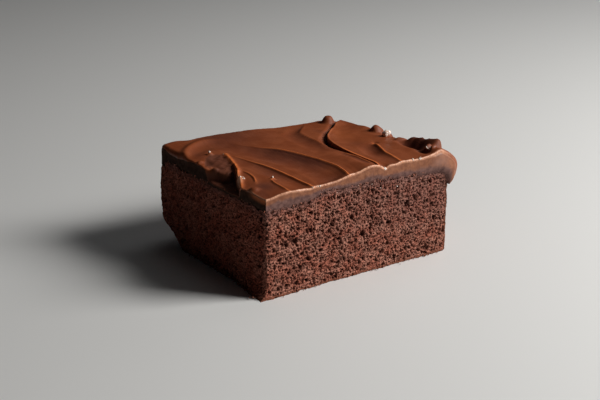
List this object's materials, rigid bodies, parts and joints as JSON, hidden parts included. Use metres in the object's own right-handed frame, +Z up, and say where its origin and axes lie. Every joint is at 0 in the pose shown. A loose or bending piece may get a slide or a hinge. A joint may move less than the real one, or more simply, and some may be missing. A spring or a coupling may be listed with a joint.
{
  "type": "frosted chocolate cake square",
  "caption": "Square of chocolate sheet cake with an open, porous crumb under a thick spread layer of glossy chocolate frosting with knife ridges and a rounded lip over one side.",
  "frame": {"origin": "middle of the bounding box at its base, where the cake rests", "axes": "+Z up; the two cut faces look along -Y and -X, the two pan sides along +X and +Y"},
  "size_m": [0.089, 0.0726, 0.0416],
  "materials": {
    "crumb": "dull porous chocolate cake crumb, light walls round dark pores",
    "chocolate_frosting": "soft satin chocolate frosting, smooth on top with knife ridges"
  },
  "bodies": {
    "root": {"sponge": "crumb", "frosting": "chocolate_frosting"}
  },
  "joints": []
}
